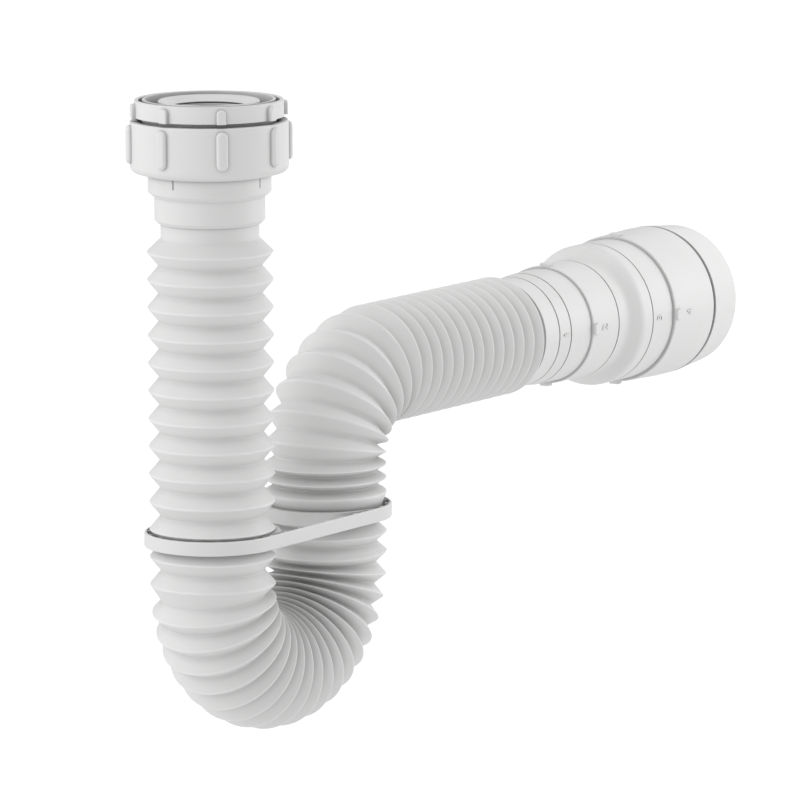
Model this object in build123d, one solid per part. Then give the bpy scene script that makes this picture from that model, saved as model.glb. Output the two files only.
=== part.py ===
from build123d import *
import math
import os

# Extendable washbasin trap, in millimetres.
# The origin is the centre of the coupling ring's top rim, +Z up, the outlet runs along +X.

# Coupling ring, which screws on the basin waste
coupling_bore_radius = 20.2
coupling_barrel_wall = 0.85
coupling_groove_width = 1.25
coupling_groove_depth = 3.6
coupling_skirt_wall = 1.3
coupling_rim_round = 0.4
coupling_height = 5.4
coupling_thread_length = 10.6
coupling_thread_wall = 2.3
coupling_relief_wall = 1.0
coupling_relief_length = 2.4
coupling_floor = 3.0
coupling_rib_width = 2.9
coupling_rib_height = 1.45
coupling_rib_drop = 0.9
coupling_rib_round = 0.5

# Flat rubber seals
inlet_seal_thickness = 2.5
union_seal_thickness = 1.5

# Union nut
nut_wall = 2.4
nut_gap = 1.2
nut_floor = 3.6
nut_top_round = 0.6
nut_foot_cone = 1.4
nut_foot_round = 2.2
nut_rib_width = 3.7
nut_rib_height = 1.45
nut_rib_top_drop = 1.0
nut_rib_length = 12.3
nut_rib_round = 1.1
rib_count = 8

# Inlet sleeve
lip_radius = 16.1
lip_drop = 0.4
lip_wall = 0.9
lip_edge = 0.3
lip_bowl_depth = 1.35
lip_bowl_taper = 1.9
lip_cone_depth = 0.45
lip_throat_radius = 12.2
throat_edge = 0.15
throat_land = 0.5
throat_groove_width = 0.5
throat_groove_depth = 1.2
lip_flare = 1.6
sleeve_bore_radius = 14.3
flange_thickness = 2.6
collar_radius = 19.5
collar_drop = 5.3
collar_taper = 1.6
sleeve_radius = 17.5
sleeve_length = 7.2
sleeve_chamfer = 1.2
slit_count = 4
slit_width = 0.4
slit_depth = 0.5
slit_drop = 3.0

# Bellows hose
hose_wall = 1.0
crest_radius = 20.0
root_radius = 16.5
cuff_radius = 15.65
cuff_insert = 9.0
neck_length = 4.7
leg_turns = 13
leg_pitch = 8.87
leg_overrun = 3.55
leg_spacing = 62.4
bend_turns = 17
rise_height = 31.4
rise_early_start = 1.5
rise_below_turns = 2
rise_below_pitch = 6.6
strap_valley_width = 7.6
rise_above_turns = 3
rise_above_pitch = 4.5
elbow_radius = 28.0
elbow_turns = 7
elbow_overrun = 2.1
outlet_pitch = 6.05
outlet_turns = 12
outlet_neck = 0.8

# Retaining strap
strap_turn = 11
strap_radius = 21.7
strap_wall = 2.2
strap_height = 4.5
strap_step_width = 1.4
strap_step_depth = 2.4
strap_lift = 1.35
strap_web_width = 1.4
strap_web_drop = 0.15
strap_side_webs = 8
strap_end_webs = 9
strap_edge_round = 0.35

# Outlet connector, lengths measured along its axis from the hose end
mouth_radius = 18.3
mouth_wall = 1.3
mouth_recess = 2.5
first_zone_length = 8.4
first_zone_radius = 18.5
second_zone_length = 6.3
second_zone_radius = 19.05
third_zone_length = 11.9
third_zone_radius = 19.25
small_spigot_length = 16.3
small_spigot_radius = 20.1
shoulder_land = 5.1
shoulder_length = 4.0
middle_land = 6.1
middle_zone_length = 12.4
middle_zone_radius = 24.2
large_cone_length = 17.4
large_cone_start_radius = 25.3
large_spigot_length = 8.0
large_spigot_radius = 25.85
lead_in_length = 15.8
lead_in_drop = 1.5
lead_in_round = 14.0
tip_round = 0.8
shoulder_round = 3.4
step_round = 0.3
connector_wall = 2.0
stop_width = 1.2
stop_length = 3.0
cut_groove_depth = 0.55
cut_groove_width = 0.6
end_groove_depth = 1.0
end_groove_width = 1.6
lug_count = 4
lug_width = 3.4
lug_length = 2.5
lug_height = 1.0
lug_round = 0.2

# Clearances
thread_clearance = 0.15
seat_clearance = 0.2
running_clearance = 0.3
seal_clearance = 0.4

# Levels down the inlet stack
skirt_bottom = -coupling_height
coupling_end = skirt_bottom - coupling_thread_length
recess_floor = coupling_end + coupling_floor
coupling_radius = coupling_bore_radius + coupling_barrel_wall + coupling_groove_width + coupling_skirt_wall
thread_radius = coupling_bore_radius + coupling_thread_wall
nut_bore_radius = thread_radius + thread_clearance
nut_radius = nut_bore_radius + nut_wall
flange_top = coupling_end - union_seal_thickness
flange_bottom = flange_top - flange_thickness
nut_top = skirt_bottom - nut_gap
nut_seat = flange_bottom - seat_clearance
nut_bottom = nut_seat - nut_floor
collar_end = nut_bottom - collar_drop
sleeve_top = collar_end - collar_taper
sleeve_bottom = sleeve_top - sleeve_length
sleeve_end = sleeve_bottom - sleeve_chamfer
cuff_top = sleeve_end + cuff_insert
bellows_top = sleeve_end - neck_length
strap_level = bellows_top - strap_turn * leg_pitch + strap_lift

# Places along the outlet
leg_straight = leg_turns * leg_pitch - leg_overrun
bend_radius = leg_spacing / 2
bend_level = bellows_top - leg_straight
elbow_level = bend_level + rise_height
outlet_level = elbow_level + elbow_radius
outlet_run = outlet_turns * outlet_pitch
connector_start = leg_spacing + elbow_radius + elbow_overrun + outlet_run + outlet_neck
rise_below_run = rise_below_turns * rise_below_pitch
rise_above_run = rise_above_turns * rise_above_pitch


def turned(profile, rounds=()):
    """Solid of revolution about Z from (radius, height) corners, with some corners rounded."""
    outline = [Vector(radius, 0, height) for radius, height in profile]
    face = Face(Wire.make_polygon(outline, close=True))
    for corner, radius in rounds:
        place = Vector(corner[0], 0, corner[1])
        nearest = face.vertices().sort_by_distance(place)[0]
        face = face.fillet_2d(radius, [nearest])
    return Solid.revolve(face, 360, Axis.Z)


def around(shape, count):
    """Copies of one shape, evenly spaced about Z."""
    return [shape.rotate(Axis.Z, 360 * turn / count) for turn in range(count)]


def bar(width, length, thickness, radius, top):
    """Upright bar on the +X side, from inside the wall out to a radius, with its top at a height."""
    outer = Box(thickness, width, length, align=(Align.MAX, Align.CENTER, Align.MAX))
    return Pos(radius, 0, top) * outer


def capsule_rib(width, length, thickness, radius, top, edge_round):
    """Upright rib with round ends on the +X side, its outer face at a radius and softly edged."""
    side = Plane(origin=(radius - thickness, 0, top - length / 2), x_dir=(0, 0, 1), z_dir=(1, 0, 0))
    rib = extrude(side * SlotOverall(length, width), thickness)
    return fillet(rib.faces().sort_by(Axis.X)[-1].edges(), edge_round)


def coupling_ring():
    skirt_inner = coupling_radius - coupling_skirt_wall
    barrel_outer = coupling_bore_radius + coupling_barrel_wall
    groove_floor = -coupling_groove_depth
    relief_radius = coupling_bore_radius + coupling_relief_wall
    relief_end = skirt_bottom - coupling_relief_length
    body = turned(
        [
            (coupling_bore_radius, 0),
            (barrel_outer, 0),
            (barrel_outer, groove_floor),
            (skirt_inner, groove_floor),
            (skirt_inner, 0),
            (coupling_radius, 0),
            (coupling_radius, skirt_bottom),
            (relief_radius, skirt_bottom),
            (relief_radius, relief_end),
            (thread_radius, relief_end - coupling_thread_wall + coupling_relief_wall),
            (thread_radius, coupling_end),
            (lip_radius + seal_clearance, coupling_end),
            (lip_radius + seal_clearance, recess_floor),
            (coupling_bore_radius, recess_floor),
        ],
        [((coupling_radius, 0), coupling_rim_round), ((skirt_inner, 0), coupling_rim_round)],
    )
    rib_thickness = coupling_rib_height + coupling_skirt_wall / 2
    rib_outer = coupling_radius + coupling_rib_height
    rib_length = coupling_height - coupling_rib_drop + coupling_rib_width / 2
    rib = capsule_rib(coupling_rib_width, rib_length, rib_thickness, rib_outer, -coupling_rib_drop, coupling_rib_round)
    rib -= bar(coupling_rib_width, coupling_rib_width, rib_thickness, rib_outer, skirt_bottom)
    return body + around(rib, rib_count)


def flat_seal(inner_radius, outer_radius, bottom, thickness):
    top = bottom + thickness
    return turned([(inner_radius, bottom), (outer_radius, bottom), (outer_radius, top), (inner_radius, top)])


def union_nut():
    hole = collar_radius + running_clearance
    foot_edge = nut_bottom + nut_foot_cone
    body = turned(
        [
            (nut_bore_radius, nut_top),
            (nut_radius, nut_top),
            (nut_radius, foot_edge),
            (hole, nut_bottom),
            (hole, nut_seat),
            (nut_bore_radius, nut_seat),
        ],
        [((nut_radius, nut_top), nut_top_round), ((nut_radius, foot_edge), nut_foot_round)],
    )
    rib_thickness = nut_rib_height + nut_wall / 2
    rib_outer = nut_radius + nut_rib_height
    rib_top = nut_top - nut_rib_top_drop
    rib = capsule_rib(nut_rib_width, nut_rib_length, rib_thickness, rib_outer, rib_top, nut_rib_round)
    return body + around(rib, rib_count)


def inlet_sleeve():
    lip_top = -lip_drop
    bowl_end = lip_top - lip_bowl_depth
    cone_end = bowl_end - lip_cone_depth
    bowl_radius = lip_radius - lip_wall - lip_bowl_taper
    groove_top = cone_end - throat_edge
    groove_end = groove_top - throat_groove_width
    throat_end = groove_end - throat_land
    groove_radius = lip_throat_radius + throat_groove_depth
    socket = cuff_radius + seat_clearance
    shoulder = cuff_top + seat_clearance
    flange_radius = thread_radius - seat_clearance
    body = turned(
        [
            (lip_throat_radius, cone_end),
            (bowl_radius, bowl_end),
            (lip_radius - lip_wall, lip_top),
            (lip_radius - lip_edge, lip_top),
            (lip_radius, lip_top - lip_edge),
            (lip_radius, flange_top),
            (flange_radius, flange_top),
            (flange_radius, flange_bottom),
            (collar_radius, flange_bottom),
            (collar_radius, collar_end),
            (sleeve_radius, sleeve_top),
            (sleeve_radius, sleeve_bottom),
            (sleeve_radius - sleeve_chamfer, sleeve_end),
            (socket, sleeve_end),
            (socket, shoulder),
            (sleeve_bore_radius, shoulder),
            (sleeve_bore_radius, throat_end - lip_flare),
            (lip_throat_radius, throat_end),
            (lip_throat_radius, groove_end),
            (groove_radius, groove_end),
            (groove_radius, groove_top),
            (lip_throat_radius, groove_top),
        ]
    )
    slit_length = flange_bottom - nut_bottom + slit_drop
    slit = bar(slit_width, slit_length, slit_depth, collar_radius, flange_bottom)
    return body - around(slit, slit_count)


# The hose follows straight runs and arcs in the XZ plane, each a length and a turn in degrees.
hose_path = [
    (cuff_top - bend_level, 0),
    (math.pi * bend_radius, 180),
    (rise_height, 0),
    (math.pi / 2 * elbow_radius, -90),
    (elbow_overrun + outlet_run + outlet_neck + cuff_insert, 0),
]


def hose_plane(distance):
    """Plane across the hose at a distance along its path from the inlet end."""
    x, z, heading = 0.0, cuff_top, math.radians(-90)
    for index, (length, turn) in enumerate(hose_path):
        last = index == len(hose_path) - 1
        step = distance if last else min(distance, length)
        if turn:
            radius = length / math.radians(turn)
            swept = step / radius
            x += radius * (math.sin(heading + swept) - math.sin(heading))
            z -= radius * (math.cos(heading + swept) - math.cos(heading))
            heading += swept
        else:
            x += step * math.cos(heading)
            z += step * math.sin(heading)
        distance -= step
        if distance <= 0:
            break
    return Plane(origin=(x, 0, z), x_dir=(0, 1, 0), z_dir=(math.cos(heading), 0, math.sin(heading)))


def hose_stations():
    """Distances along the hose and outer radii, from crest to root, with a plain cuff at each end."""
    elbow_run = math.pi / 2 * elbow_radius
    rise_end = rise_below_run + strap_valley_width + rise_above_run - rise_early_start
    runs = [
        (leg_turns * leg_pitch, leg_turns),
        (math.pi * bend_radius - leg_overrun - rise_early_start, bend_turns),
        (rise_below_run, rise_below_turns),
        (strap_valley_width, 0),
        (rise_above_run, rise_above_turns),
        (rise_height + elbow_run + elbow_overrun - rise_end, elbow_turns),
        (outlet_run, outlet_turns),
    ]
    place = cuff_top - bellows_top
    stations = [(0.0, cuff_radius), (place, cuff_radius)]
    for length, turns in runs:
        for turn in range(turns):
            pitch = length / turns
            stations.append((place + (turn + 0.5) * pitch, crest_radius))
            stations.append((place + (turn + 1) * pitch, root_radius))
        place += length
    stations[-1] = (place, cuff_radius)
    stations.append((place + outlet_neck + cuff_insert, cuff_radius))
    return stations


def bellows_hose():
    stations = hose_stations()
    outside = [hose_plane(place) * Circle(radius) for place, radius in stations]
    first, last = stations[0], stations[-1]
    inside_stations = [(first[0] - hose_wall, first[1])] + stations[1:-1] + [(last[0] + hose_wall, last[1])]
    inside = [hose_plane(place) * Circle(radius - hose_wall) for place, radius in inside_stations]
    return loft(outside, ruled=True) - loft(inside, ruled=True)


def belt(radius, height):
    """Flat belt outline round both legs, standing on z = 0."""
    outline = SlotCenterToCenter(leg_spacing, 2 * radius)
    return extrude(Pos(leg_spacing / 2, 0) * outline, height)


def leg_rings(outer_radius, inner_radius, height):
    rings = []
    for x in (0, leg_spacing):
        ring = Cylinder(outer_radius, height, align=(Align.CENTER, Align.CENTER, Align.MIN))
        ring -= Cylinder(inner_radius, height, align=(Align.CENTER, Align.CENTER, Align.MIN))
        rings.append(Pos(x, 0) * ring)
    return rings


def outer_edges(body):
    """Top and bottom edges of the belt's outside."""
    levels = body.faces().filter_by(Axis.Z).group_by(Axis.Z)
    rims = [max(level, key=lambda face: face.outer_wire().length) for level in (levels[0], levels[-1])]
    return [edge for rim in rims for edge in rim.outer_wire().edges()]


def strap_webs(radius):
    """Small walls across the belt's step, along its sides and round its ends."""
    height = strap_step_depth - strap_web_drop
    web = Box(strap_web_width, 2 * strap_wall, height, align=(Align.CENTER, Align.CENTER, Align.MIN))
    webs = []
    for index in range(strap_side_webs):
        x = leg_spacing * (index + 0.5) / strap_side_webs
        webs += [Pos(x, -radius, 0) * web, Pos(x, radius, 0) * web]
    for index in range(strap_end_webs):
        turn = 180 * (index + 0.5) / strap_end_webs
        webs.append(Rot(0, 0, turn) * Pos(0, radius, 0) * web)
        webs.append(Pos(leg_spacing, 0, 0) * Rot(0, 0, -turn) * Pos(0, radius, 0) * web)
    return webs


def retaining_strap():
    inner_radius = strap_radius - strap_wall
    body = belt(strap_radius, strap_height) - belt(inner_radius, strap_height)
    body += leg_rings(strap_radius, inner_radius, strap_height)
    step_radius = inner_radius + strap_step_width
    step = belt(step_radius, strap_step_depth) - belt(inner_radius, strap_step_depth)
    step -= strap_webs(inner_radius)
    body -= Pos(0, 0, strap_height - strap_step_depth) * step
    body = fillet(outer_edges(body), strap_edge_round)
    return Pos(0, 0, strap_level - strap_height / 2) * body


def cut_groove(radius, place, depth, width):
    """Ring that cuts a groove round the connector: a slope down from the hose side and a steep far wall."""
    start = place - width
    return turned([(radius, start), (radius + depth, start), (radius + depth, place), (radius - depth, place)])


def outlet_connector():
    first_cut = first_zone_length
    second_cut = first_cut + second_zone_length
    small_step = second_cut + third_zone_length
    third_cut = small_step + small_spigot_length
    shoulder_start = third_cut + shoulder_land
    shoulder_end = shoulder_start + shoulder_length
    fourth_cut = shoulder_end + middle_land
    large_step = fourth_cut + middle_zone_length
    large_land = large_step + large_cone_length
    lead_in = large_land + large_spigot_length
    end = lead_in + lead_in_length
    socket = cuff_radius + seat_clearance
    stop = cuff_insert + seat_clearance
    bore = socket - stop_width
    tip_radius = large_spigot_radius - lead_in_drop
    body = turned(
        [
            (mouth_radius, 0),
            (first_zone_radius, first_cut),
            (second_zone_radius, second_cut),
            (third_zone_radius, small_step),
            (small_spigot_radius, small_step),
            (small_spigot_radius, shoulder_start),
            (middle_zone_radius, shoulder_end),
            (middle_zone_radius, large_step),
            (large_cone_start_radius, large_step),
            (large_spigot_radius, large_land),
            (large_spigot_radius, lead_in),
            (tip_radius, end),
            (tip_radius - connector_wall, end),
            (large_spigot_radius - connector_wall, lead_in),
            (large_spigot_radius - connector_wall, large_land),
            (large_cone_start_radius - connector_wall, large_step + connector_wall),
            (middle_zone_radius - connector_wall, large_step),
            (middle_zone_radius - connector_wall, shoulder_end + connector_wall),
            (small_spigot_radius - connector_wall, shoulder_start + connector_wall),
            (small_spigot_radius - connector_wall, small_step + connector_wall),
            (third_zone_radius - connector_wall, small_step),
            (third_zone_radius - connector_wall, stop + stop_length + connector_wall),
            (bore, stop + stop_length),
            (bore, stop),
            (socket, stop),
            (socket, mouth_recess),
            (mouth_radius - mouth_wall, mouth_recess),
            (mouth_radius - mouth_wall, 0),
        ],
        [
            ((small_spigot_radius, small_step), step_round),
            ((small_spigot_radius, shoulder_start), shoulder_round),
            ((middle_zone_radius, shoulder_end), shoulder_round),
            ((large_cone_start_radius, large_step), step_round),
            ((large_spigot_radius, lead_in), lead_in_round),
            ((tip_radius, end), tip_round),
        ],
    )
    for radius, place in (
        (first_zone_radius, first_cut),
        (second_zone_radius, second_cut),
        (small_spigot_radius, third_cut),
        (middle_zone_radius, fourth_cut),
    ):
        body -= cut_groove(radius, place, cut_groove_depth, cut_groove_width)
    body -= cut_groove(large_spigot_radius, lead_in, end_groove_depth, end_groove_width)
    for radius, place in ((small_spigot_radius, small_step), (large_cone_start_radius, large_step)):
        lug = bar(lug_width, lug_length, lug_height + connector_wall / 2, radius + lug_height, place + lug_length)
        lug = fillet(lug.faces().sort_by(Axis.X)[-1].edges(), lug_round)
        body += around(lug, lug_count)
    return Pos(connector_start, 0, outlet_level) * Rot(0, 90, 0) * body


pieces = {
    "coupling_ring": coupling_ring(),
    "inlet_seal": flat_seal(
        lip_radius + seal_clearance,
        coupling_bore_radius - seat_clearance,
        recess_floor,
        inlet_seal_thickness,
    ),
    "union_seal": flat_seal(
        lip_radius + seal_clearance,
        thread_radius - seat_clearance,
        flange_top,
        union_seal_thickness,
    ),
    "union_nut": union_nut(),
    "inlet_sleeve": inlet_sleeve(),
    "bellows_hose": bellows_hose(),
    "retaining_strap": retaining_strap(),
    "outlet_connector": outlet_connector(),
}

os.makedirs("parts", exist_ok=True)
for name, piece in pieces.items():
    export_step(piece, f"parts/{name}.step")
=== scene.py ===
import math

import bpy
import numpy as np
from mathutils import Matrix, Vector


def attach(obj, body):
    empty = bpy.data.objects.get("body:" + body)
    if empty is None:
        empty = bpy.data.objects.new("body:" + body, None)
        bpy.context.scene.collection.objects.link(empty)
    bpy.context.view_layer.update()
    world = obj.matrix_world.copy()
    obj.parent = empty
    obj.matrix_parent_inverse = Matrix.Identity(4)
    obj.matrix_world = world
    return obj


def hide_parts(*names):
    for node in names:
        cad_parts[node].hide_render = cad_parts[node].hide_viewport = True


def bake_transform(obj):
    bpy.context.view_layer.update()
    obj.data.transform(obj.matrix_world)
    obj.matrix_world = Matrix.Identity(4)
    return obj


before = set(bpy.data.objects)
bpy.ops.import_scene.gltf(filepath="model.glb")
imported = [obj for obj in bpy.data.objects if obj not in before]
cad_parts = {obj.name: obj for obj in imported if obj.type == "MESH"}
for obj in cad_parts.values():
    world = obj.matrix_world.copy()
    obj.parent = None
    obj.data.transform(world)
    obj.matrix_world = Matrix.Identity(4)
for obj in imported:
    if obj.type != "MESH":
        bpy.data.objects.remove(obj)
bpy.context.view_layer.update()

MM = 0.001

# Hose sizes in millimetres, as the solid has them
CUFF_TOP = -30.2
BELLOWS_TOP = -43.9
HOSE_WALL = 1.0
CREST_RADIUS = 20.0
ROOT_RADIUS = 16.5
CUFF_RADIUS = 15.65
CUFF_INSERT = 9.0
LEG_TURNS = 13
LEG_PITCH = 8.87
LEG_OVERRUN = 3.55
LEG_SPACING = 62.4
BEND_TURNS = 17
RISE_HEIGHT = 31.4
RISE_EARLY_START = 1.5
RISE_BELOW_TURNS = 2
RISE_BELOW_PITCH = 6.6
STRAP_VALLEY_WIDTH = 7.6
RISE_ABOVE_TURNS = 3
RISE_ABOVE_PITCH = 4.5
ELBOW_RADIUS = 28.0
ELBOW_TURNS = 7
ELBOW_OVERRUN = 2.1
OUTLET_PITCH = 6.05
OUTLET_TURNS = 12
OUTLET_NECK = 0.8
STRAP_TURN = 11

BEND_RADIUS = LEG_SPACING / 2
BEND_LEVEL = BELLOWS_TOP - LEG_TURNS * LEG_PITCH + LEG_OVERRUN
BEND_RUN = math.pi * BEND_RADIUS
ELBOW_RUN = math.pi / 2 * ELBOW_RADIUS
RISE_BELOW_RUN = RISE_BELOW_TURNS * RISE_BELOW_PITCH
RISE_ABOVE_RUN = RISE_ABOVE_TURNS * RISE_ABOVE_PITCH
OUTLET_RUN = OUTLET_TURNS * OUTLET_PITCH

CONNECTOR_START = LEG_SPACING + ELBOW_RADIUS + ELBOW_OVERRUN + OUTLET_RUN + OUTLET_NECK
STRAIGHT_RUN = ELBOW_OVERRUN + OUTLET_RUN + OUTLET_NECK + CUFF_INSERT
HOSE_LENGTH = CUFF_TOP - BEND_LEVEL + BEND_RUN + RISE_HEIGHT + ELBOW_RUN + STRAIGHT_RUN

# How finely the hose is meshed, and how its crests and roots are rounded.
# Averaging over the rounding's width lowers a corner by an eighth of the width for each unit of slope change.
ROUND_SEGMENTS = 90
FOLD_STEPS = (-0.3, -0.12, 0.0, 0.12, 0.3)
FOLD_ROUNDING = 0.5
ROUNDING_SAMPLES = 13
CORNER_LOSS = 1 / 8

# Raised zone numbers on the outlet connector: number, place past the hose end, zone radius
ZONE_NUMBERS = [("1", 12.0, 18.9), ("2", 33.8, 20.1), ("3", 62.0, 24.2), ("4", 79.2, 25.5)]
NUMBER_SIZE = 4.6
NUMBER_RISE = 0.25
NUMBER_CURVE_STEPS = 6

# Plastic: its white, and the painted shade that greys it in gaps, hollows and folds where near walls would
# hide the light.
# A reach is how far the painted shade looks for near walls in metres. The range after each reach is where the
# painted shade turns to white.
WHITE = (0.80, 0.80, 0.796)
GAP_SHADE_GREY = (0.33, 0.33, 0.33)
GAP_SHADE_REACH = 0.0015
GAP_SHADE_RANGE = (0.0, 0.95)
HOLLOW_SHADE_GREY = (0.40, 0.40, 0.40)
HOLLOW_SHADE_REACH = 0.014
HOLLOW_SHADE_RANGE = (0.1, 0.75)
FOLD_SHADE_GREY = (0.48, 0.48, 0.475)
FOLD_SHADE_REACH = 0.004
FOLD_SHADE_RANGE = (0.18, 0.9)
CREVICE_SAMPLES = 8

# Painted highlight, whiter along the crests of the folds: 0 is the height of a root and 1 the height of a
# crest
CREST_HIGHLIGHT_WHITE = (0.86, 0.86, 0.856)
CREST_HIGHLIGHT_RANGE = (0.9, 0.98)
FOLD_HEIGHT = "fold_height"

# Rubber of the seals, with dust where its grain stands highest
RUBBER_BLACK = (0.025, 0.025, 0.025)
RUBBER_DUST = (0.045, 0.045, 0.045)
DUST_RANGE = (0.4, 0.8)

# Grain of the moulded surfaces: grains per metre, how deep they are and the roughness they vary between
GRAIN_SCALE = 700.0
GRAIN_DETAIL = 3
GRAIN_RANGE = (0.3, 0.7)
GRAIN_DEPTH = 0.00002
GRAIN_STRENGTH = 0.2
SATIN_ROUGHNESS = (0.34, 0.42)
BLOWN_ROUGHNESS = (0.38, 0.46)
RUBBER_ROUGHNESS = (0.60, 0.78)

# Sockets of Blender's mix node when it mixes colours
MIX_LOW = 6
MIX_HIGH = 7
MIX_RESULT = 2

# The photograph's camera, found from its rings
PHOTO_PIXELS = 800
CAMERA_TARGET = Vector((0.106935, 0.0, -0.110837))
CAMERA_AZIMUTH = -55.662
CAMERA_ELEVATION = 9.228
CAMERA_ROLL = -0.229
CAMERA_DISTANCE = 2.2462
CAMERA_FOCAL_PIXELS = 6815.8
TARGET_PIXEL = (402.09, 401.06)
SENSOR_WIDTH = 36.0

# Softboxes: turn to the right from the camera and height in degrees, distance and size in metres, and power.
# The small one stands close to the outlet and brightens it more than the rest.
FAR = 1.6
NEAR = 0.45
WIDE = 1.2
SMALL = 0.4
SOFTBOXES = [
    ("left_back_softbox", -110, 15, FAR, WIDE, 3.0),
    ("left_softbox", -70, 15, FAR, WIDE, 4.2),
    ("front_left_softbox", -30, 15, FAR, WIDE, 2.4),
    ("upper_left_softbox", -45, 50, FAR, WIDE, 3.6),
    ("right_softbox", 90, 15, FAR, WIDE, 5.0),
    ("outlet_softbox", 104, 18, NEAR, SMALL, 0.36),
    ("right_back_softbox", 150, 15, FAR, WIDE, 2.0),
    ("upper_back_softbox", 135, 50, FAR, WIDE, 0.9),
    ("top_softbox", 0, 88, FAR, WIDE, 3.0),
]

# White backdrop: its light on the part from the camera's side, from behind the part and from the floor
SKY_FRONT = 0.40
SKY_BACK = 0.54
FLOOR_LIGHT = 0.74
BACKDROP_WHITE = 1.05
FLOOR_LEVEL = -0.32
FLOOR_SIZE = 40.0
FLOOR_GREY = (0.05, 0.05, 0.05)
FLOOR_ROUGHNESS = 0.9


def hose_runs():
    """Straight runs and arcs of the hose: length and turn in degrees."""
    return [
        (CUFF_TOP - BEND_LEVEL, 0),
        (BEND_RUN, 180),
        (RISE_HEIGHT, 0),
        (ELBOW_RUN, -90),
        (STRAIGHT_RUN, 0),
    ]


def hose_centre(distance):
    """Centre (x, z) and heading of the hose at a distance along its path."""
    x, z, heading = 0.0, CUFF_TOP, math.radians(-90)
    runs = hose_runs()
    for index, (length, turn) in enumerate(runs):
        last = index == len(runs) - 1
        step = distance if last else min(distance, length)
        if turn:
            radius = length / math.radians(turn)
            swept = step / radius
            x += radius * (math.sin(heading + swept) - math.sin(heading))
            z -= radius * (math.cos(heading + swept) - math.cos(heading))
            heading += swept
        else:
            x += step * math.cos(heading)
            z += step * math.sin(heading)
        distance -= step
        if distance <= 0:
            break
    return x, z, heading


def hose_stations():
    """Crest and root places along the hose with their radii, and the place where the strap's valley is."""
    rise_end = RISE_BELOW_RUN + STRAP_VALLEY_WIDTH + RISE_ABOVE_RUN - RISE_EARLY_START
    runs = [
        (LEG_TURNS * LEG_PITCH, LEG_TURNS),
        (BEND_RUN - LEG_OVERRUN - RISE_EARLY_START, BEND_TURNS),
        (RISE_BELOW_RUN, RISE_BELOW_TURNS),
        (STRAP_VALLEY_WIDTH, 0),
        (RISE_ABOVE_RUN, RISE_ABOVE_TURNS),
        (RISE_HEIGHT + ELBOW_RUN + ELBOW_OVERRUN - rise_end, ELBOW_TURNS),
        (OUTLET_RUN, OUTLET_TURNS),
    ]
    place = CUFF_TOP - BELLOWS_TOP
    stations = [(0.0, CUFF_RADIUS), (place, CUFF_RADIUS)]
    for length, turns in runs:
        for turn in range(turns):
            pitch = length / turns
            stations.append((place + (turn + 0.5) * pitch, CREST_RADIUS))
            stations.append((place + (turn + 1) * pitch, ROOT_RADIUS))
        place += length
    stations[-1] = (place, CUFF_RADIUS)
    stations.append((place + OUTLET_NECK + CUFF_INSERT, CUFF_RADIUS))
    valley = CUFF_TOP - BELLOWS_TOP + STRAP_TURN * LEG_PITCH
    return stations, valley


def fold_radius(places, stations):
    """Outer radius along the hose: straight flanks with rounded crests and roots."""
    at = np.array([place for place, radius in stations])
    radii = np.array([radius for place, radius in stations])
    peaks = radii.copy()
    for index in range(1, len(stations) - 1):
        before = (radii[index] - radii[index - 1]) / (at[index] - at[index - 1])
        after = (radii[index + 1] - radii[index]) / (at[index + 1] - at[index])
        peaks[index] += (before - after) * FOLD_ROUNDING * CORNER_LOSS
    window = np.linspace(-FOLD_ROUNDING / 2, FOLD_ROUNDING / 2, ROUNDING_SAMPLES)
    return np.mean([np.interp(places + shift, at, peaks) for shift in window], axis=0)


def hose_mesh(name, places, radii):
    """Closed thin-walled tube along the hose path between the first and the last place."""
    angles = np.linspace(0, 2 * math.pi, ROUND_SEGMENTS, endpoint=False)
    skins = []
    for shrink in (0.0, HOSE_WALL):
        rings = []
        for place, radius in zip(places, radii):
            x, z, heading = hose_centre(place)
            across = (radius - shrink) * np.cos(angles)
            side = (radius - shrink) * np.sin(angles)
            ring_x = x - math.sin(heading) * across
            ring_z = z + math.cos(heading) * across
            rings.append(np.stack([ring_x, side, ring_z], axis=1))
        skins.append(np.concatenate(rings))
    vertices = np.concatenate(skins) * MM
    inner = len(places) * ROUND_SEGMENTS
    last = inner - ROUND_SEGMENTS
    following = [(segment + 1) % ROUND_SEGMENTS for segment in range(ROUND_SEGMENTS)]
    faces = []
    for first in range(0, last, ROUND_SEGMENTS):
        for segment in range(ROUND_SEGMENTS):
            a = first + segment
            b = first + following[segment]
            c = b + ROUND_SEGMENTS
            d = a + ROUND_SEGMENTS
            faces.append((a, d, c, b))
            faces.append((inner + a, inner + b, inner + c, inner + d))
    for segment in range(ROUND_SEGMENTS):
        a = segment
        b = following[segment]
        faces.append((a, b, inner + b, inner + a))
        faces.append((last + b, last + a, inner + last + a, inner + last + b))
    mesh = bpy.data.meshes.new(name)
    mesh.from_pydata(vertices.tolist(), [], faces)
    height = (radii - ROOT_RADIUS) / (CREST_RADIUS - ROOT_RADIUS)
    fold = mesh.attributes.new(FOLD_HEIGHT, "FLOAT", "POINT")
    fold.data.foreach_set("value", np.tile(np.repeat(height, ROUND_SEGMENTS), len(skins)))
    mesh.polygons.foreach_set("use_smooth", [True] * len(faces))
    mesh.update()
    piece = bpy.data.objects.new(name, mesh)
    bpy.context.scene.collection.objects.link(piece)
    return piece


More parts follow.
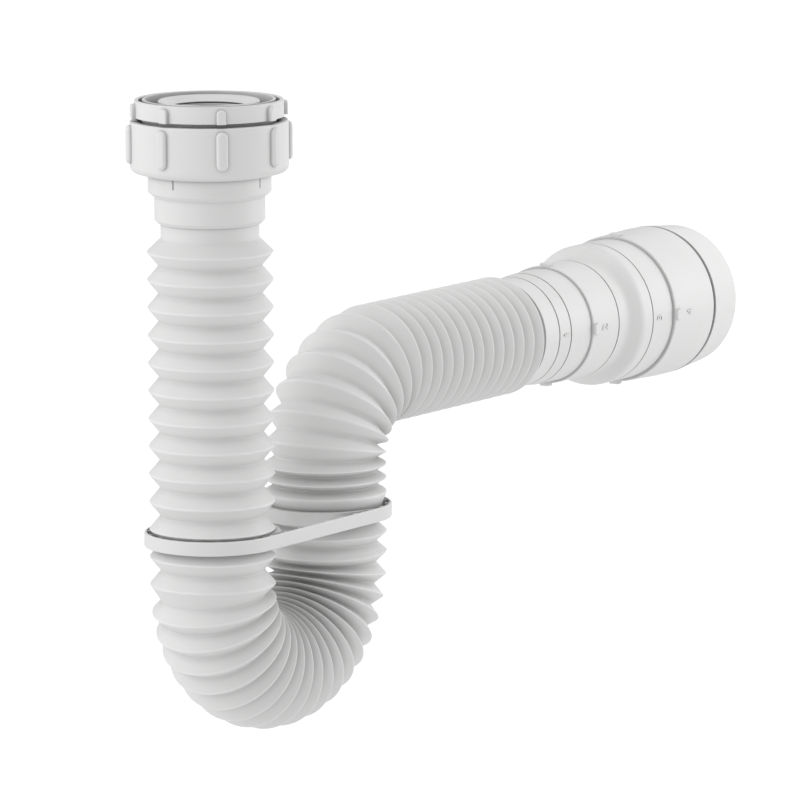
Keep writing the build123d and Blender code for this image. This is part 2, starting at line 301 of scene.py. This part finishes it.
def build_hose(material):
    """Hose as two meshes that meet in the strap's valley of the inlet leg."""
    stations, valley = hose_stations()
    places = [stations[0][0], stations[-1][0]]
    for (start, _), (end, _) in zip(stations, stations[1:]):
        places.append((start + end) / 2)
    for place, _ in stations[1:-1]:
        places.extend(place + step for step in FOLD_STEPS)
    places = np.array(sorted(places))
    radii = fold_radius(places, stations)
    split = int(np.argmin(np.abs(places - valley)))
    leg = hose_mesh("bellows_inlet_leg", places[:split + 1], radii[:split + 1])
    rest = hose_mesh("bellows_bend_and_outlet", places[split:], radii[split:])
    for piece in (leg, rest):
        piece.data.materials.append(material)
        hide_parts("bellows_hose")
    leg_foot = hose_centre(valley)
    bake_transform(leg)
    level = hose_centre(HOSE_LENGTH)[1] * MM
    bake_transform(rest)


def zone_number(number, place, radius, material):
    """Raised number laid round the connector, read from below upwards on the -Y side."""
    name = "zone_number_" + number
    curve = bpy.data.curves.new(name, "FONT")
    curve.body = number
    curve.size = NUMBER_SIZE
    curve.extrude = NUMBER_RISE
    curve.resolution_u = NUMBER_CURVE_STEPS
    curve.align_x = "CENTER"
    curve.align_y = "CENTER"
    flat = bpy.data.objects.new(name, curve)
    bpy.context.scene.collection.objects.link(flat)
    bpy.context.view_layer.update()
    depsgraph = bpy.context.evaluated_depsgraph_get()
    mesh = bpy.data.meshes.new_from_object(flat.evaluated_get(depsgraph))
    bpy.data.objects.remove(flat)
    level = hose_centre(HOSE_LENGTH)[1]
    for vertex in mesh.vertices:
        along, up, rise = vertex.co
        turn = along / radius
        reach = radius + rise
        x = CONNECTOR_START + place - up
        vertex.co = Vector((x, -reach * math.cos(turn), level + reach * math.sin(turn))) * MM
    mesh.materials.clear()
    mesh.materials.append(material)
    piece = bpy.data.objects.new(name, mesh)
    bpy.context.scene.collection.objects.link(piece)
    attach(piece, "outlet")


def painted_shade_group():
    """Node group for painted shade: gives 1 on open faces and falls to 0 deep in folds, gaps and corners."""
    tree = bpy.data.node_groups.new("painted_shade_mask", "ShaderNodeTree")
    reach = tree.interface.new_socket("Reach", in_out="INPUT", socket_type="NodeSocketFloat")
    reach.default_value = GAP_SHADE_REACH
    tree.interface.new_socket("Open", in_out="OUTPUT", socket_type="NodeSocketFloat")
    inputs = tree.nodes.new("NodeGroupInput")
    outputs = tree.nodes.new("NodeGroupOutput")
    occlusion = tree.nodes.new("ShaderNodeAmbientOcclusion")
    occlusion.samples = CREVICE_SAMPLES
    tree.links.new(inputs.outputs["Reach"], occlusion.inputs["Distance"])
    tree.links.new(occlusion.outputs["AO"], outputs.inputs["Open"])
    return tree


def grain_group():
    """Node group that gives the fine uneven grain of a moulded surface, about 0.5 in the middle."""
    tree = bpy.data.node_groups.new("moulded_grain", "ShaderNodeTree")
    scale = tree.interface.new_socket("Scale", in_out="INPUT", socket_type="NodeSocketFloat")
    scale.default_value = GRAIN_SCALE
    tree.interface.new_socket("Grain", in_out="OUTPUT", socket_type="NodeSocketFloat")
    inputs = tree.nodes.new("NodeGroupInput")
    outputs = tree.nodes.new("NodeGroupOutput")
    place = tree.nodes.new("ShaderNodeTexCoord")
    noise = tree.nodes.new("ShaderNodeTexNoise")
    noise.inputs["Detail"].default_value = GRAIN_DETAIL
    tree.links.new(place.outputs["Object"], noise.inputs["Vector"])
    tree.links.new(inputs.outputs["Scale"], noise.inputs["Scale"])
    tree.links.new(noise.outputs["Fac"], outputs.inputs["Grain"])
    return tree


def add_grain(material, grain, roughness):
    """Fine grain in the shader's roughness, from the low to the high value given, and in its surface.

    Gives back the grain itself.
    """
    nodes = material.node_tree.nodes
    links = material.node_tree.links
    shader = nodes["Principled BSDF"]
    group = nodes.new("ShaderNodeGroup")
    group.node_tree = grain
    sheen = nodes.new("ShaderNodeMapRange")
    sheen.inputs["From Min"].default_value, sheen.inputs["From Max"].default_value = GRAIN_RANGE
    sheen.inputs["To Min"].default_value, sheen.inputs["To Max"].default_value = roughness
    links.new(group.outputs["Grain"], sheen.inputs["Value"])
    links.new(sheen.outputs["Result"], shader.inputs["Roughness"])
    bump = nodes.new("ShaderNodeBump")
    bump.inputs["Strength"].default_value = GRAIN_STRENGTH
    bump.inputs["Distance"].default_value = GRAIN_DEPTH
    links.new(group.outputs["Grain"], bump.inputs["Height"])
    links.new(bump.outputs["Normal"], shader.inputs["Normal"])
    return group.outputs["Grain"]


def colour_mix(material, factor, low, high):
    """Mix from the low colour at factor 0 to the high colour at 1, each a colour or a socket."""
    nodes = material.node_tree.nodes
    links = material.node_tree.links
    mix = nodes.new("ShaderNodeMix")
    mix.data_type = "RGBA"
    links.new(factor, mix.inputs["Factor"])
    for socket, value in ((mix.inputs[MIX_LOW], low), (mix.inputs[MIX_HIGH], high)):
        if isinstance(value, tuple):
            socket.default_value = (*value, 1)
        else:
            links.new(value, socket)
    return mix.outputs[MIX_RESULT]


def map_range(material, value, limits):
    """Value from 0 at the low limit to 1 at the high limit, held outside them."""
    node = material.node_tree.nodes.new("ShaderNodeMapRange")
    node.inputs["From Min"].default_value, node.inputs["From Max"].default_value = limits
    material.node_tree.links.new(value, node.inputs["Value"])
    return node.outputs["Result"]


def open_mask(material, crevices, reach):
    """Mask for painted shade at its own reach."""
    mask = material.node_tree.nodes.new("ShaderNodeGroup")
    mask.node_tree = crevices
    mask.inputs["Reach"].default_value = reach
    return mask.outputs["Open"]


def satin_plastic_painted_shade(name, crevices, grain):
    """Satin moulded polypropylene with painted shade: greyer inside its hollows and down in its gaps."""
    material = bpy.data.materials.new(name)
    material.use_nodes = True
    shader = material.node_tree.nodes["Principled BSDF"]
    add_grain(material, grain, SATIN_ROUGHNESS)
    # Painted shade: grey deep inside wide hollows, where ambient occlusion finds far walls
    hollow_shade = map_range(material, open_mask(material, crevices, HOLLOW_SHADE_REACH), HOLLOW_SHADE_RANGE)
    body = colour_mix(material, hollow_shade, HOLLOW_SHADE_GREY, WHITE)
    # Painted shade: grey down in narrow gaps, where ambient occlusion finds near walls
    gap_shade = map_range(material, open_mask(material, crevices, GAP_SHADE_REACH), GAP_SHADE_RANGE)
    colour = colour_mix(material, gap_shade, GAP_SHADE_GREY, body)
    material.node_tree.links.new(colour, shader.inputs["Base Color"])
    return material


def folded_plastic_painted_shade_and_highlight(name, crevices, grain):
    """Blow-moulded polypropylene with painted shade, greyer in the roots of the folds, and a painted
    highlight, whiter along the thin crests.
    """
    material = bpy.data.materials.new(name)
    material.use_nodes = True
    nodes = material.node_tree.nodes
    shader = nodes["Principled BSDF"]
    add_grain(material, grain, BLOWN_ROUGHNESS)
    fold = nodes.new("ShaderNodeAttribute")
    fold.attribute_name = FOLD_HEIGHT
    # Painted highlight: whiter along the thin crests of the folds
    height = map_range(material, fold.outputs["Fac"], CREST_HIGHLIGHT_RANGE)
    crest_highlight = colour_mix(material, height, WHITE, CREST_HIGHLIGHT_WHITE)
    # Painted shade: grey in the roots of the folds, where ambient occlusion finds the neighbouring flanks
    fold_shade = map_range(material, open_mask(material, crevices, FOLD_SHADE_REACH), FOLD_SHADE_RANGE)
    colour = colour_mix(material, fold_shade, FOLD_SHADE_GREY, crest_highlight)
    material.node_tree.links.new(colour, shader.inputs["Base Color"])
    return material


def rubber(name, grain):
    """Matt seal rubber with a little dust in its grain."""
    material = bpy.data.materials.new(name)
    material.use_nodes = True
    shader = material.node_tree.nodes["Principled BSDF"]
    dust = map_range(material, add_grain(material, grain, RUBBER_ROUGHNESS), DUST_RANGE)
    colour = colour_mix(material, dust, RUBBER_BLACK, RUBBER_DUST)
    material.node_tree.links.new(colour, shader.inputs["Base Color"])
    return material


def direction(azimuth, elevation):
    """Unit vector at an azimuth from -Y towards +X and an elevation, both in degrees."""
    turn = math.radians(azimuth)
    rise = math.radians(elevation)
    level = math.cos(rise)
    return Vector((math.sin(turn) * level, -math.cos(turn) * level, math.sin(rise)))


def set_camera():
    """Camera at the photograph's place, with its lens and its off-centre frame."""
    back = direction(CAMERA_AZIMUTH, CAMERA_ELEVATION)
    data = bpy.data.cameras.new("photo_camera")
    data.sensor_fit = "HORIZONTAL"
    data.sensor_width = SENSOR_WIDTH
    data.lens = CAMERA_FOCAL_PIXELS / PHOTO_PIXELS * SENSOR_WIDTH
    data.shift_x = (PHOTO_PIXELS / 2 - TARGET_PIXEL[0]) / PHOTO_PIXELS
    data.shift_y = (TARGET_PIXEL[1] - PHOTO_PIXELS / 2) / PHOTO_PIXELS
    camera = bpy.data.objects.new("photo_camera", data)
    bpy.context.scene.collection.objects.link(camera)
    turn = back.to_track_quat("Z", "Y").to_matrix().to_4x4()
    roll = Matrix.Rotation(math.radians(CAMERA_ROLL), 4, "Z")
    camera.matrix_world = Matrix.Translation(CAMERA_TARGET + back * CAMERA_DISTANCE) @ turn @ roll
    bpy.context.scene.camera = camera


def studio_light(name, turn, height, distance, size, power):
    """Round softbox aimed at the part and hidden from the camera itself."""
    data = bpy.data.lights.new(name, "AREA")
    data.shape = "DISK"
    data.size = size
    data.energy = power
    light = bpy.data.objects.new(name, data)
    bpy.context.scene.collection.objects.link(light)
    towards = direction(CAMERA_AZIMUTH + turn, height)
    light.location = CAMERA_TARGET + towards * distance
    light.visible_camera = False
    light.rotation_euler = towards.to_track_quat("Z", "Y").to_euler()


def white_to_camera(tree, shader, colour_socket, strength_socket):
    """White where the camera looks straight at it.

    Gives back the socket that sets its weaker light on the part.
    """
    shader.inputs[colour_socket].default_value = (1, 1, 1, 1)
    path = tree.nodes.new("ShaderNodeLightPath")
    mix = tree.nodes.new("ShaderNodeMapRange")
    mix.inputs["To Max"].default_value = BACKDROP_WHITE
    tree.links.new(path.outputs["Is Camera Ray"], mix.inputs["Value"])
    tree.links.new(mix.outputs["Result"], shader.inputs[strength_socket])
    return mix.inputs["To Min"]


def set_studio():
    """White studio: sky, softboxes and a pale floor that melts into the sky."""
    world = bpy.data.worlds.new("white_studio")
    bpy.context.scene.world = world
    world.use_nodes = True
    sky = world.node_tree.nodes["Background"]
    light = white_to_camera(world.node_tree, sky, "Color", "Strength")
    place = world.node_tree.nodes.new("ShaderNodeTexCoord")
    facing = world.node_tree.nodes.new("ShaderNodeVectorMath")
    facing.operation = "DOT_PRODUCT"
    facing.inputs[1].default_value = direction(CAMERA_AZIMUTH, 0)
    fall = world.node_tree.nodes.new("ShaderNodeMapRange")
    fall.inputs["From Min"].default_value = -1
    fall.inputs["To Min"].default_value = SKY_BACK
    fall.inputs["To Max"].default_value = SKY_FRONT
    world.node_tree.links.new(place.outputs["Generated"], facing.inputs[0])
    world.node_tree.links.new(facing.outputs["Value"], fall.inputs["Value"])
    world.node_tree.links.new(fall.outputs["Result"], light)
    for softbox in SOFTBOXES:
        studio_light(*softbox)
    bpy.ops.mesh.primitive_plane_add(size=FLOOR_SIZE, location=(0, 0, FLOOR_LEVEL))
    floor = bpy.context.object
    floor.name = "pale_floor"
    material = bpy.data.materials.new("white_floor")
    material.use_nodes = True
    shader = material.node_tree.nodes["Principled BSDF"]
    shader.inputs["Base Color"].default_value = (*FLOOR_GREY, 1)
    shader.inputs["Roughness"].default_value = FLOOR_ROUGHNESS
    shader.inputs["Specular IOR Level"].default_value = 0.0
    light = white_to_camera(material.node_tree, shader, "Emission Color", "Emission Strength")
    light.default_value = FLOOR_LIGHT
    floor.data.materials.append(material)
    bpy.context.scene.view_settings.view_transform = "Standard"


crevices = painted_shade_group()
grain = grain_group()
white_fitting_painted_shade = satin_plastic_painted_shade("white_fitting_painted_shade", crevices, grain)
white_hose_painted_shade_and_highlight = folded_plastic_painted_shade_and_highlight("white_hose_painted_shade_and_highlight", crevices, grain)
black_rubber = rubber("seal_rubber", grain)

for node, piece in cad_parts.items():
    finish = black_rubber if node.endswith("seal") else white_fitting_painted_shade
    piece.data.materials.clear()
    piece.data.materials.append(finish)

build_hose(white_hose_painted_shade_and_highlight)
for number, place, radius in ZONE_NUMBERS:
    zone_number(number, place, radius, white_fitting_painted_shade)
set_camera()
set_studio()
